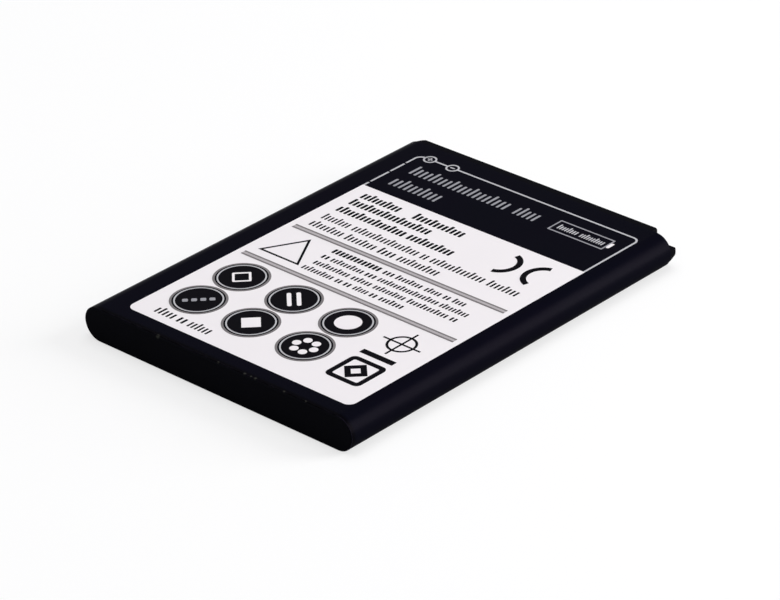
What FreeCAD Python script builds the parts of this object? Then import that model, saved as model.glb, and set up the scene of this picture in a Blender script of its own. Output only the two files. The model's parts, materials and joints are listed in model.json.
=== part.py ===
import FreeCAD, Part
import math
import os
import re
import Sketcher
from FreeCAD import Rotation, Vector

# Mobile phone battery pack: a welded flat cell in a printed film sleeve, a moulded cap with the
# contacts and the protection board at one end, and a thin moulded plate at the other.
# X runs across the pack, Y along it towards the contacts, Z up through its thickness.
# The origin is the middle of the face that the pack lies on. Millimetres.

doc = FreeCAD.newDocument("PhoneBattery")

sizes = {
    # Whole pack
    "pack_width": 56.0,
    "pack_length": 75.0,
    "pack_height": 5.9,
    # Film sleeve
    "film_wall": 0.12,
    "film_gap": 0.03,
    "film_setback": 0.2,
    # Moulded plate and its adhesive pad at the tail
    "tail_thick": 1.0,
    "tail_round": 0.2,
    "tail_pad_thick": 0.15,
    "tail_pad_inset": 5.0,
    "tail_pad_height": 3.6,
    # Cell
    "can_corner": 0.8,
    "weld_inset": 0.55,
    "weld_width": 0.25,
    "weld_depth": 0.12,
    "vent_inset": 12.0,
    "vent_width": 6.5,
    "vent_height": 2.6,
    "vent_line": 0.35,
    "vent_depth": 0.15,
    "plug_inset": 20.0,
    "plug_radius": 0.7,
    "plug_depth": 1.2,
    "plug_sink": 0.05,
    # Cell terminal
    "terminal_x": 0.0,
    "gasket_width": 7.0,
    "gasket_thick": 0.35,
    "gasket_rim": 0.4,
    "gasket_wall": 0.4,
    "gasket_depth": 1.4,
    "rivet_width": 5.0,
    "rivet_thick": 0.5,
    # Contact cap
    "lip_depth": 1.5,
    "end_wall": 1.0,
    "cap_wall": 0.5,
    "cap_pad_thick": 0.25,
    "cavity_left_inset": 3.8,
    "cavity_right_inset": 6.1,
    "block_left_inset": 3.15,
    "block_right_inset": 3.95,
    "block_round": 0.4,
    "left_bevel": 1.7,
    "lip_round": 0.12,
    "shoulder_height": 3.5,
    "shoulder_round": 0.25,
    "shoulder_bevel_start": 0.2,
    "shoulder_bevel_end": 2.75,
    "shoulder_bevel_width": 1.7,
    "field_start": 4.8,
    "field_end": 30.35,
    "field_rim": 0.9,
    "field_depth": 0.15,
    "cap_pad_left_inset": 2.5,
    "cap_pad_left_width": 1.7,
    "cap_pad_right_inset": 3.8,
    "cap_pad_right_width": 3.6,
    "cap_pad_height": 2.8,
    # Contacts and their windows
    "contact_count": 4,
    "contact_inset": 8.4,
    "contact_pitch": 4.85,
    "contact_width": 2.5,
    "contact_rim": 0.55,
    "contact_thick": 0.55,
    "contact_round": 0.15,
    "window_gap": 0.12,
    "window_bevel": 0.2,
    # Protection board
    "board_thick": 0.7,
    "board_room": 3.4,
    "board_gap": 0.25,
    "board_corner": 0.5,
    "press_gap": 0.02,
    "key_inset": 12.5,
    "key_width": 1.2,
    "key_height": 0.5,
    "key_gap": 0.1,
    # Ribs that hold the board
    "rib_count": 4,
    "rib_inset": 1.8,
    "rib_width": 1.4,
    "rib_length": 0.9,
    "rib_reach": 0.25,
    # Insulating paper on the lid
    "paper_thick": 0.2,
    "paper_gap": 0.2,
    "paper_rim": 0.3,
    # Nickel parts
    "strip_thick": 0.15,
    "strip_width": 2.4,
    "bend_round": 0.25,
    "clad_inset": 11.6,
    "clad_width": 4.6,
    "clad_thick": 0.3,
    "positive_rise_inset": 9.6,
    "positive_foot": 2.2,
    "negative_start": 2.1,
    "fuse_start": 3.3,
    "fuse_length": 4.6,
    "fuse_width": 3.0,
    "fuse_thick": 1.0,
    "fuse_round": 0.25,
    "fuse_lead_run": 1.6,
    "fuse_lead_foot": 2.0,
    # Small parts on the board
    "chip_inset": 13.4,
    "chip_length": 2.9,
    "chip_width": 1.6,
    "chip_thick": 1.1,
    "chip_pitch": 0.95,
    "chip_lead": 0.4,
    "switch_inset": 23.5,
    "switch_length": 3.0,
    "switch_width": 4.4,
    "switch_thick": 1.0,
    "switch_pitch": 0.65,
    "switch_lead": 0.25,
    "lead_foot": 0.45,
    "lead_reach": 0.75,
    "lead_thick": 0.15,
    "small_length": 1.6,
    "small_width": 0.8,
    "small_thick": 0.5,
    "small_end": 0.35,
    "small_rim": 0.03,
    "capacitor_thick": 0.85,
    "sense_inset": 28.9,
    "sense_length": 3.2,
    "sense_width": 1.6,
    "thermistor_inset": 7.0,
    "identity_inset": 9.6,
    "filter_resistor_inset": 16.6,
    "filter_capacitor_inset": 18.8,
    "bypass_inset": 31.6,
}

sheet = doc.addObject("Spreadsheet::Sheet", "Sizes")
for row, (alias, value) in enumerate(sizes.items(), 1):
    sheet.set(f"A{row}", alias)
    sheet.set(f"B{row}", str(value))
    sheet.setAlias(f"B{row}", alias)
doc.recompute()

# Places that several pieces share, as expressions on the sheet
left_side = "(-pack_width / 2)"
right_side = "(pack_width / 2)"
mid_height = "(pack_height / 2)"
front_face = "(pack_length / 2)"
tail_face = "(-pack_length / 2)"
film_front = f"({front_face} - lip_depth)"
film_tail = f"({tail_face} + film_setback)"
inner_width = "(pack_width - 2 * film_wall - 2 * film_gap)"
inner_height = "(pack_height - 2 * film_wall - 2 * film_gap)"
can_tail = f"({tail_face} + tail_thick + tail_pad_thick)"
board_front = f"({front_face} - end_wall)"
board_back = f"({board_front} - board_thick)"
lid_face = f"({board_back} - board_room)"
cap_back = f"({lid_face} + cap_pad_thick)"
cavity_height = f"({inner_height} - 2 * cap_wall)"
cavity_width = "(pack_width - cavity_left_inset - cavity_right_inset)"
cavity_middle = "((cavity_left_inset - cavity_right_inset) / 2)"
board_width = f"({cavity_width} - 2 * board_gap)"
board_height = f"({cavity_height} - 2 * board_gap)"
block_left = f"({left_side} + block_left_inset)"
block_right = f"({right_side} - block_right_inset)"
first_contact = f"({left_side} + contact_inset)"
contact_height = f"({board_height} - 2 * contact_rim)"
key_x = f"({right_side} - key_inset)"
seat_height = f"({board_height} - 2 * paper_rim - 2 * paper_gap)"
gasket_neck = f"({seat_height} / 2 - gasket_rim)"
rivet_shank = f"({gasket_neck} - gasket_wall)"
rivet_face = f"({lid_face} + gasket_thick + rivet_thick)"
plug_x = f"({left_side} + plug_inset)"
clad_x = f"({right_side} - clad_inset)"
fuse_back = "(terminal_x + fuse_start)"
fuse_front = f"({fuse_back} + fuse_length)"


def sized(text):
    """The expression with each named size read from the sheet."""
    return re.sub(r"[a-z_]+", lambda word: f"Sizes.{word[0]}" if word[0] in sizes else word[0], text)


def bind(item, **expressions):
    """Binds properties to expressions. A double underscore in a property's name stands for a dot."""
    for name, text in expressions.items():
        item.setExpression(name.replace("__", "."), sized(text))


def place(item, x, y, z):
    bind(item, Placement__Base__x=x, Placement__Base__y=y, Placement__Base__z=z)


def new_body(label):
    body = doc.addObject("PartDesign::Body", label)
    body.Label = label
    return body


def plane_of(body, role):
    return next(plane for plane in body.Origin.OriginFeatures if plane.Role == role)


def section_sketch(body, name, x, y, z):
    """A sketch across the pack: its own axes are X and Z, and its origin lies at the point given."""
    sketch = body.newObject("Sketcher::SketchObject", name)
    sketch.AttachmentSupport = [(plane_of(body, "XZ_Plane"), "")]
    sketch.MapMode = "FlatFace"
    bind(sketch, AttachmentOffset__Base__x=x, AttachmentOffset__Base__y=z)
    bind(sketch, AttachmentOffset__Base__z=f"-({y})")
    return sketch


def plan_sketch(body, name, z):
    """A sketch seen from above: its own axes are X and Y."""
    sketch = body.newObject("Sketcher::SketchObject", name)
    sketch.AttachmentSupport = [(plane_of(body, "XY_Plane"), "")]
    sketch.MapMode = "FlatFace"
    bind(sketch, AttachmentOffset__Base__z=z)
    return sketch


def value_of(text):
    return float(sheet.evalExpression(sized(text)))


def dimension(sketch, kind, places, text):
    """Adds a dimension and binds it to an expression."""
    index = sketch.addConstraint(Sketcher.Constraint(kind, *places, value_of(text)))
    sketch.setExpression(f"Constraints[{index}]", sized(text))


def draw_rectangle(sketch, wide, high):
    """A rectangle about the sketch's origin."""
    half_wide, half_high = value_of(wide) / 2, value_of(high) / 2
    corners = [
        Vector(-half_wide, -half_high, 0),
        Vector(half_wide, -half_high, 0),
        Vector(half_wide, half_high, 0),
        Vector(-half_wide, half_high, 0),
    ]
    first = sketch.GeometryCount
    for start, end in zip(corners, corners[1:] + corners[:1]):
        sketch.addGeometry(Part.LineSegment(start, end))
    for side in range(4):
        sketch.addConstraint(Sketcher.Constraint("Coincident", first + side, 2, first + (side + 1) % 4, 1))
        sketch.addConstraint(Sketcher.Constraint("Vertical" if side % 2 else "Horizontal", first + side))
    sketch.addConstraint(Sketcher.Constraint("Symmetric", first, 1, first + 2, 1, -1, 1))
    dimension(sketch, "DistanceX", (first, 1, first, 2), wide)
    dimension(sketch, "DistanceY", (first + 1, 1, first + 1, 2), high)


def draw_oval(sketch, wide, high):
    """A slot shape about the sketch's origin, with half-round sides."""
    radius = value_of(high) / 2
    reach = value_of(wide) / 2 - radius
    quarter = math.pi / 2
    first = sketch.GeometryCount
    sketch.addGeometry(Part.LineSegment(Vector(-reach, -radius, 0), Vector(reach, -radius, 0)))
    right = Part.Circle(Vector(reach, 0, 0), Vector(0, 0, 1), radius)
    sketch.addGeometry(Part.ArcOfCircle(right, -quarter, quarter))
    sketch.addGeometry(Part.LineSegment(Vector(reach, radius, 0), Vector(-reach, radius, 0)))
    left = Part.Circle(Vector(-reach, 0, 0), Vector(0, 0, 1), radius)
    sketch.addGeometry(Part.ArcOfCircle(left, quarter, 3 * quarter))
    for side in range(4):
        sketch.addConstraint(Sketcher.Constraint("Tangent", first + side, 2, first + (side + 1) % 4, 1))
    sketch.addConstraint(Sketcher.Constraint("Horizontal", first))
    sketch.addConstraint(Sketcher.Constraint("Horizontal", first + 2))
    sketch.addConstraint(Sketcher.Constraint("Symmetric", first + 1, 3, first + 3, 3, -1, 1))
    dimension(sketch, "Radius", (first + 1,), f"({high}) / 2")
    dimension(sketch, "DistanceX", (first + 3, 3, first + 1, 3), f"({wide}) - ({high})")


def draw_circle(sketch, radius):
    first = sketch.GeometryCount
    sketch.addGeometry(Part.Circle(Vector(0, 0, 0), Vector(0, 0, 1), value_of(radius)))
    sketch.addConstraint(Sketcher.Constraint("Coincident", first, 3, -1, 1))
    dimension(sketch, "Radius", (first,), radius)


def draw_polygon(sketch, corners):
    """A closed outline whose corners are pairs of expressions from the sketch's origin."""
    points = [Vector(value_of(x), value_of(y), 0) for x, y in corners]
    first = sketch.GeometryCount
    count = len(points)
    for side in range(count):
        sketch.addGeometry(Part.LineSegment(points[side], points[(side + 1) % count]))
    for side in range(count):
        beside = first + (side + 1) % count
        sketch.addConstraint(Sketcher.Constraint("Coincident", first + side, 2, beside, 1))
    for side, (x, y) in enumerate(corners):
        dimension(sketch, "DistanceX", (-1, 1, first + side, 1), x)
        dimension(sketch, "DistanceY", (-1, 1, first + side, 1), y)


def pad(body, sketch, length):
    """Pads along the sketch's normal, which is -Y for a section and +Z for a plan."""
    feature = body.newObject("PartDesign::Pad", f"{sketch.Label}_pad")
    feature.Profile = sketch
    bind(feature, Length=length)
    doc.recompute()
    return feature


def pocket(body, sketch, depth, along_normal=False):
    """Cuts against the sketch's normal, or along it, and checks that something was cut."""
    before = body.Shape.Volume
    feature = body.newObject("PartDesign::Pocket", f"{sketch.Label}_pocket")
    feature.Profile = sketch
    feature.Reversed = along_normal
    bind(feature, Length=depth)
    doc.recompute()
    if body.Shape.Volume >= before:
        raise ValueError(f"{feature.Label} cuts nothing")
    return feature


def dress(body, kind, radius, wanted):
    """Rounds or bevels the edges for which wanted(edge) holds."""
    base = body.Tip
    names = [f"Edge{number}" for number, edge in enumerate(base.Shape.Edges, 1) if wanted(edge)]
    feature = body.newObject(f"PartDesign::{kind}", f"{body.Label}_{kind.lower()}")
    feature.Base = (base, names)
    bind(feature, **{"Radius" if kind == "Fillet" else "Size": radius})
    doc.recompute()
    if not names or feature.Shape.isNull() or not feature.Shape.isValid():
        raise ValueError(f"{feature.Label} failed on {names}")
    return feature


def at_y(level):
    """Picks the edges that lie wholly at one place along the pack."""
    y = value_of(level)
    return lambda edge: abs(edge.BoundBox.YMin - y) < 0.01 and abs(edge.BoundBox.YMax - y) < 0.01


def upright_at(corners):
    """Picks the edges parallel to Z that stand at the given corners of a plan."""
    places = [(value_of(x), value_of(y)) for x, y in corners]

    def wanted(edge):
        box = edge.BoundBox
        stands = box.XLength < 0.01 and box.YLength < 0.01
        return stands and any(abs(box.XMin - x) < 0.01 and abs(box.YMin - y) < 0.01 for x, y in places)

    return wanted


def repeat(body, feature, sketch, length, count):
    """Repeats a feature along the sketch's X axis."""
    pattern = body.newObject("PartDesign::LinearPattern", f"{feature.Label}_row")
    pattern.Originals = [feature]
    pattern.Direction = (sketch, ["H_Axis"])
    bind(pattern, Length=length, Occurrences=count)
    body.Tip = pattern
    doc.recompute()
    return pattern


def box_part(label, wide, deep, high, x, y, z):
    """A plain block, centred across the pack and in height, with its back at y."""
    block = doc.addObject("Part::Box", label)
    block.Label = label
    bind(block, Length=wide, Width=deep, Height=high)
    place(block, f"({x}) - ({wide}) / 2", y, f"({z}) - ({high}) / 2")
    return block


def make_wrap():
    """Printed film shrunk round the cell: one wall with half-round sides, open at both ends."""
    body = new_body("wrap_label")
    section = section_sketch(body, "film_section", "0", film_front, mid_height)
    draw_oval(section, "pack_width", "pack_height")
    draw_oval(section, "pack_width - 2 * film_wall", "pack_height - 2 * film_wall")
    pad(body, section, f"{film_front} - {film_tail}")
    return body


def make_cell():
    """The welded cell: a deep-drawn can with its lid, sealed, so it is one solid."""
    body = new_body("cell")
    section = section_sketch(body, "can_section", "0", lid_face, mid_height)
    draw_oval(section, inner_width, inner_height)
    pad(body, section, f"{lid_face} - {can_tail}")
    dress(body, "Fillet", "can_corner", at_y(can_tail))

    weld = section_sketch(body, "lid_weld", "0", lid_face, mid_height)
    for inset in ("2 * weld_inset", "2 * weld_inset + 2 * weld_width"):
        draw_oval(weld, f"{inner_width} - ({inset})", f"{inner_height} - ({inset})")
    pocket(body, weld, "weld_depth", along_normal=True)

    vent = section_sketch(body, "vent_score", f"{left_side} + vent_inset", lid_face, mid_height)
    draw_oval(vent, "vent_width", "vent_height")
    draw_oval(vent, "vent_width - 2 * vent_line", "vent_height - 2 * vent_line")
    pocket(body, vent, "vent_depth", along_normal=True)

    terminal = section_sketch(body, "terminal_hole", "terminal_x", lid_face, mid_height)
    draw_circle(terminal, f"{gasket_neck} + press_gap")
    pocket(body, terminal, "gasket_depth + press_gap", along_normal=True)

    filling = section_sketch(body, "filling_hole", plug_x, lid_face, mid_height)
    draw_circle(filling, "plug_radius + press_gap")
    pocket(body, filling, "plug_depth + press_gap", along_normal=True)
    return body


def make_gasket():
    """Moulded collar that keeps the terminal rivet off the lid."""
    body = new_body("terminal_gasket")
    flange = section_sketch(body, "gasket_flange", "terminal_x", f"{lid_face} + gasket_thick", mid_height)
    draw_oval(flange, "gasket_width", seat_height)
    pad(body, flange, "gasket_thick")
    neck = section_sketch(body, "gasket_collar", "terminal_x", lid_face, mid_height)
    draw_circle(neck, gasket_neck)
    pad(body, neck, "gasket_depth")
    bore = section_sketch(body, "gasket_bore", "terminal_x", f"{lid_face} + gasket_thick", mid_height)
    draw_circle(bore, f"{rivet_shank} + press_gap")
    pocket(body, bore, "gasket_thick + gasket_depth", along_normal=True)
    return body


def make_rivet():
    body = new_body("negative_terminal")
    head = section_sketch(body, "rivet_head", "terminal_x", rivet_face, mid_height)
    draw_oval(head, "rivet_width", f"{seat_height} - 2 * gasket_rim")
    pad(body, head, "rivet_thick")
    shank = section_sketch(body, "rivet_stem", "terminal_x", f"{rivet_face} - rivet_thick", mid_height)
    draw_circle(shank, rivet_shank)
    pad(body, shank, "gasket_thick + gasket_depth")
    return body


def make_plug():
    """Pin pressed into the filling hole after the electrolyte went in."""
    body = new_body("filling_plug")
    pin = section_sketch(body, "plug_section", plug_x, f"{lid_face} - plug_sink", mid_height)
    draw_circle(pin, "plug_radius")
    pad(body, pin, "plug_depth - plug_sink")
    return body


def make_tail_cap():
    body = new_body("tail_cap")
    section = section_sketch(body, "tail_section", "0", f"{tail_face} + tail_thick", mid_height)
    draw_oval(section, inner_width, inner_height)
    pad(body, section, "tail_thick")
    dress(body, "Fillet", "tail_round", at_y(tail_face))
    return body


def make_contact_cap():
    """Moulded cap: its skirt fills the film's end, its lip stands out of it, and the board sits behind."""
    body = new_body("contact_cap")
    section = section_sketch(body, "cap_section", "0", front_face, mid_height)
    draw_oval(section, inner_width, inner_height)
    pad(body, section, f"{front_face} - {cap_back}")

    # Both label-side corners of the lip are cut down to a low shoulder that keys the pack in its bay
    beyond_left = f"({left_side} - lip_depth)"
    beyond_right = f"({right_side} + lip_depth)"
    beyond_front = f"({front_face} + lip_depth)"
    block_top = f"({mid_height} + {inner_height} / 2)"
    left = plan_sketch(body, "left_notch", "shoulder_height")
    draw_polygon(
        left,
        [
            (beyond_left, film_front),
            (f"{block_left} - left_bevel", film_front),
            (block_left, front_face),
            (block_left, beyond_front),
            (beyond_left, beyond_front),
        ],
    )
    pocket(body, left, "pack_height", along_normal=True)
    right = plan_sketch(body, "right_notch", "shoulder_height")
    draw_polygon(
        right,
        [
            (block_right, film_front),
            (beyond_right, film_front),
            (beyond_right, beyond_front),
            (block_right, beyond_front),
        ],
    )
    pocket(body, right, "pack_height", along_normal=True)

    on_front = at_y(front_face)
    half_inside = value_of(inner_width) / 2 - value_of(inner_height) / 2
    dress(
        body,
        "Fillet",
        "shoulder_round",
        lambda edge: on_front(edge) and abs(edge.CenterOfMass.x) > half_inside and edge.BoundBox.ZLength > 1,
    )

    # The shoulders are bevelled below, which narrows them towards the back face
    for hand, side, outward in (("left", left_side, "-"), ("right", right_side, "")):
        bevel = section_sketch(body, f"{hand}_shoulder_bevel", "0", front_face, mid_height)
        draw_polygon(
            bevel,
            [
                (side, "-shoulder_bevel_start"),
                (f"{side} - {outward}shoulder_bevel_width", "-shoulder_bevel_end"),
                (f"{side} + {outward}lip_depth", "-shoulder_bevel_end"),
                (f"{side} + {outward}lip_depth", "-shoulder_bevel_start"),
            ],
        )
        pocket(body, bevel, "lip_depth", along_normal=True)

    corner = value_of(block_right)
    top = value_of(block_top)
    dress(
        body,
        "Fillet",
        "block_round",
        lambda edge: abs(edge.CenterOfMass.x - corner) < 0.01
        and abs(edge.CenterOfMass.z - top) < 0.01
        and edge.BoundBox.YLength > 1,
    )
    dress(body, "Fillet", "lip_round", lambda edge: on_front(edge) and abs(edge.CenterOfMass.z - top) < 0.01)

    cavity = section_sketch(body, "board_cavity", cavity_middle, cap_back, mid_height)
    draw_rectangle(cavity, cavity_width, cavity_height)
    pocket(body, cavity, f"{board_front} - {cap_back}")

    field_middle = f"{left_side} + (field_start + field_end) / 2"
    field = section_sketch(body, "contact_field", field_middle, front_face, mid_height)
    draw_rectangle(field, "field_end - field_start", f"{inner_height} - 2 * field_rim")
    pocket(body, field, "field_depth", along_normal=True)

    window = section_sketch(body, "contact_window", first_contact, board_front, mid_height)
    draw_rectangle(window, "contact_width + 2 * window_gap", f"{contact_height} + 2 * window_gap")
    opening = pocket(body, window, "end_wall")
    repeat(body, opening, window, "(contact_count - 1) * contact_pitch", "contact_count")

    rib_high = "(board_gap + rib_reach)"
    first_rib = f"{left_side} + cavity_left_inset + rib_inset"
    for name, side in (("rib_above", 1), ("rib_below", -1)):
        level = f"({mid_height} + {side} * ({cavity_height} - {rib_high}) / 2)"
        rib = section_sketch(body, name, first_rib, board_back, level)
        draw_rectangle(rib, "rib_width", rib_high)
        ledge = pad(body, rib, "rib_length")
        repeat(body, ledge, rib, f"{cavity_width} - 2 * rib_inset", "rib_count")

    key_high = "(board_gap + key_height)"
    level = f"({mid_height} - ({cavity_height} - {key_high}) / 2)"
    key = section_sketch(body, "board_key", key_x, board_front, level)
    draw_rectangle(key, "key_width", key_high)
    pad(body, key, f"{board_front} - {board_back}")

    on_field = at_y(f"{front_face} - field_depth")
    reach = value_of(f"{contact_height} / 2 + window_gap") + 0.01
    middle = value_of(mid_height)
    dress(
        body,
        "Chamfer",
        "window_bevel",
        lambda edge: on_field(edge)
        and edge.BoundBox.ZMax < middle + reach
        and edge.BoundBox.ZMin > middle - reach,
    )
    return body


def make_board():
    body = new_body("protection_board")
    outline = section_sketch(body, "board_outline", cavity_middle, board_front, mid_height)
    draw_rectangle(outline, board_width, board_height)
    pad(body, outline, "board_thick")
    dress(
        body,
        "Fillet",
        "board_corner",
        lambda edge: edge.BoundBox.XLength < 0.01 and edge.BoundBox.ZLength < 0.01,
    )
    notch_high = "(key_height + key_gap)"
    level = f"({mid_height} - {board_height} / 2 + {notch_high} / 2)"
    notch = section_sketch(body, "key_notch", key_x, board_front, level)
    draw_rectangle(notch, "key_width + 2 * key_gap", notch_high)
    pocket(body, notch, "board_thick", along_normal=True)
    return body


def make_contact(label, place_in_row):
    body = new_body(label)
    x = f"({first_contact} + {place_in_row} * contact_pitch)"
    face = section_sketch(body, f"{label}_face", x, f"{board_front} + contact_thick", mid_height)
    draw_rectangle(face, "contact_width", contact_height)
    pad(body, face, "contact_thick")
    dress(body, "Fillet", "contact_round", at_y(f"{board_front} + contact_thick"))
    return body


def make_paper():
    """Insulating paper on the lid, cut out round the terminal and the weld plate."""
    body = new_body("insulating_paper")
    outline = section_sketch(body, "paper_outline", cavity_middle, f"{lid_face} + paper_thick", mid_height)
    draw_rectangle(outline, board_width, board_height)
    pad(body, outline, "paper_thick")
    terminal = section_sketch(body, "paper_terminal_hole", "terminal_x", lid_face, mid_height)
    draw_oval(terminal, "gasket_width + 2 * paper_gap", f"{seat_height} + 2 * paper_gap")
    pocket(body, terminal, "paper_thick")
    plate = section_sketch(body, "paper_plate_hole", clad_x, lid_face, mid_height)
    draw_rectangle(plate, "clad_width + 2 * paper_gap", f"{seat_height} + 2 * paper_gap")
    pocket(body, plate, "paper_thick")
    return body


def make_folded_strip(label, start_x, start_y, rise_x, foot):
    """Nickel strip: it lies flat, rises towards the board and folds over to lie on it."""
    far_x = f"({rise_x} + strip_thick)"
    foot_y = f"({board_back} - strip_thick)"
    top_y = f"({start_y} + strip_thick)"
    end_x = f"({far_x} + {foot})"
    body = new_body(label)
    side = plan_sketch(body, f"{label}_side", f"{mid_height} - strip_width / 2")
    draw_polygon(
        side,
        [
            (start_x, start_y),
            (far_x, start_y),
            (far_x, foot_y),
            (end_x, foot_y),
            (end_x, board_back),
            (rise_x, board_back),
            (rise_x, top_y),
            (start_x, top_y),
        ],
    )
    pad(body, side, "strip_width")
    dress(body, "Fillet", "bend_round", upright_at([(far_x, foot_y), (rise_x, top_y)]))
    dress(body, "Fillet", "bend_round + strip_thick", upright_at([(far_x, start_y), (rise_x, board_back)]))
    return body


def make_fuse():
    body = new_body("thermal_fuse")
    y = f"({rivet_face} + strip_thick / 2 + fuse_thick / 2)"
    section = section_sketch(body, "fuse_section", f"{fuse_back} + fuse_length / 2", y, mid_height)
    draw_rectangle(section, "fuse_length", "fuse_width")
    pad(body, section, "fuse_thick")
    dress(body, "Fillet", "fuse_round", lambda edge: edge.BoundBox.XLength > 1)
    return body


def make_chip_part(label, inset, long, wide, thick):
    """Leadless part: a body with a slightly larger soldered cap on each end."""
    pieces = [box_part(f"{label}_body", long, thick, wide, "0", f"-({thick})", "0")]
    for name, side in (("left", -1), ("right", 1)):
        end = f"{side} * (({long}) - small_end) / 2"
        deep = f"({thick} + small_rim)"
        high = f"({wide} + 2 * small_rim)"
        pieces.append(box_part(f"{label}_{name}_end", "small_end", deep, high, end, f"-{deep}", "0"))
    return join(label, pieces, inset)


def make_leaded_part(label, inset, long, wide, thick, count, pitch, lead, turned=False):
    """Moulded part with a row of bent leads along two sides, soldered to the back of the board."""
    pieces = [box_part(f"{label}_body", long, f"{thick} - lead_thick", wide, "0", f"-({thick})", "0")]
    for number in range(count):
        along = f"({number} - {(count - 1) / 2}) * {pitch}"
        for side in (-1, 1):
            name = f"{label}_lead_{number}_{'far' if side > 0 else 'near'}"
            out = f"{side} * (({wide}) / 2 + lead_reach - lead_foot / 2)"
            foot = box_part(f"{name}_foot", lead, "lead_thick", "lead_foot", along, "-lead_thick", out)
            pieces.append(foot)
            reach = "(lead_reach - lead_foot + lead_thick)"
            out = f"{side} * (({wide}) / 2 + {reach} / 2)"
            level = f"-({thick}) / 2"
            pieces.append(box_part(f"{name}_arm", lead, "lead_thick", reach, along, level, out))
            out = f"{side} * (({wide}) / 2 + {reach} - lead_thick / 2)"
            pieces.append(box_part(f"{name}_drop", lead, f"({thick}) / 2", "lead_thick", along, level, out))
    return join(label, pieces, inset, turned)


def join(label, pieces, inset, turned=False):
    """Fuses the pieces of a small part and sets it on the back of the board, in from the left side."""
    part = doc.addObject("Part::MultiFuse", label)
    part.Label = label
    part.Shapes = pieces
    if turned:
        part.Placement.Rotation = Rotation(Vector(0, 1, 0), 90)
    place(part, f"{left_side} + {inset}", board_back, mid_height)
    return part


nodes = [
    make_wrap(),
    make_cell(),
    make_gasket(),
    make_rivet(),
    make_plug(),
    make_tail_cap(),
    box_part(
        "tail_pad",
        "pack_width - 2 * tail_pad_inset",
        "tail_pad_thick",
        "tail_pad_height",
        "0",
        f"{tail_face} + tail_thick",
        mid_height,
    ),
    make_contact_cap(),
    box_part(
        "cap_pad_left",
        "cap_pad_left_width",
        "cap_pad_thick",
        "cap_pad_height",
        f"{left_side} + cap_pad_left_inset",
        lid_face,
        mid_height,
    ),
    box_part(
        "cap_pad_right",
        "cap_pad_right_width",
        "cap_pad_thick",
        "cap_pad_height",
        f"{right_side} - cap_pad_right_inset",
        lid_face,
        mid_height,
    ),
    make_board(),
    make_paper(),
    box_part("weld_plate", "clad_width", "clad_thick", seat_height, clad_x, lid_face, mid_height),
    make_folded_strip(
        "positive_strip",
        f"({clad_x} - clad_width / 2 + paper_gap)",
        f"({lid_face} + clad_thick)",
        f"({right_side} - positive_rise_inset)",
        "positive_foot",
    ),
    box_part(
        "negative_strip",
        "fuse_start + negative_start",
        "strip_thick",
        "strip_width",
        "terminal_x + (fuse_start - negative_start) / 2",
        rivet_face,
        mid_height,
    ),
    make_fuse(),
    make_folded_strip(
        "fuse_lead",
        fuse_front,
        rivet_face,
        f"({fuse_front} + fuse_lead_run)",
        "fuse_lead_foot",
    ),
    make_leaded_part(
        "protection_chip",
        "chip_inset",
        "chip_length",
        "chip_width",
        "chip_thick",
        3,
        "chip_pitch",
        "chip_lead",
    ),
    make_leaded_part(
        "switch_transistor",
        "switch_inset",
        "switch_length",
        "switch_width",
        "switch_thick",
        4,
        "switch_pitch",
        "switch_lead",
        turned=True,
    ),
    make_chip_part("thermistor", "thermistor_inset", "small_length", "small_width", "small_thick"),
    make_chip_part("identity_resistor", "identity_inset", "small_length", "small_width", "small_thick"),
    make_chip_part("filter_resistor", "filter_resistor_inset", "small_length", "small_width", "small_thick"),
    make_chip_part(
        "filter_capacitor",
        "filter_capacitor_inset",
        "small_length",
        "small_width",
        "capacitor_thick",
    ),
    make_chip_part("bypass_capacitor", "bypass_inset", "small_length", "small_width", "capacitor_thick"),
    make_chip_part("sense_resistor", "sense_inset", "sense_length", "sense_width", "small_thick"),
]
contact_names = ["contact_positive", "contact_negative", "contact_thermistor", "contact_identity"]
nodes += [make_contact(label, number) for number, label in enumerate(contact_names)]
doc.recompute()

for item in doc.Objects:
    if {"Invalid", "Error"} & set(item.State):
        raise ValueError(f"{item.Label} failed: {item.State}")
for node in nodes:
    if node.Shape.isNull() or not node.Shape.isValid():
        raise ValueError(f"{node.Label} has no valid shape")

os.makedirs("parts", exist_ok=True)
for node in nodes:
    node.Shape.exportStep(f"parts/{node.Label}.step")
    print(f"{node.Label}: {len(node.Shape.Solids)} solid, {node.Shape.Volume:.2f} mm3")
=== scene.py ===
import json
import math

import bpy
import numpy as np
from mathutils import Matrix, Vector


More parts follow.
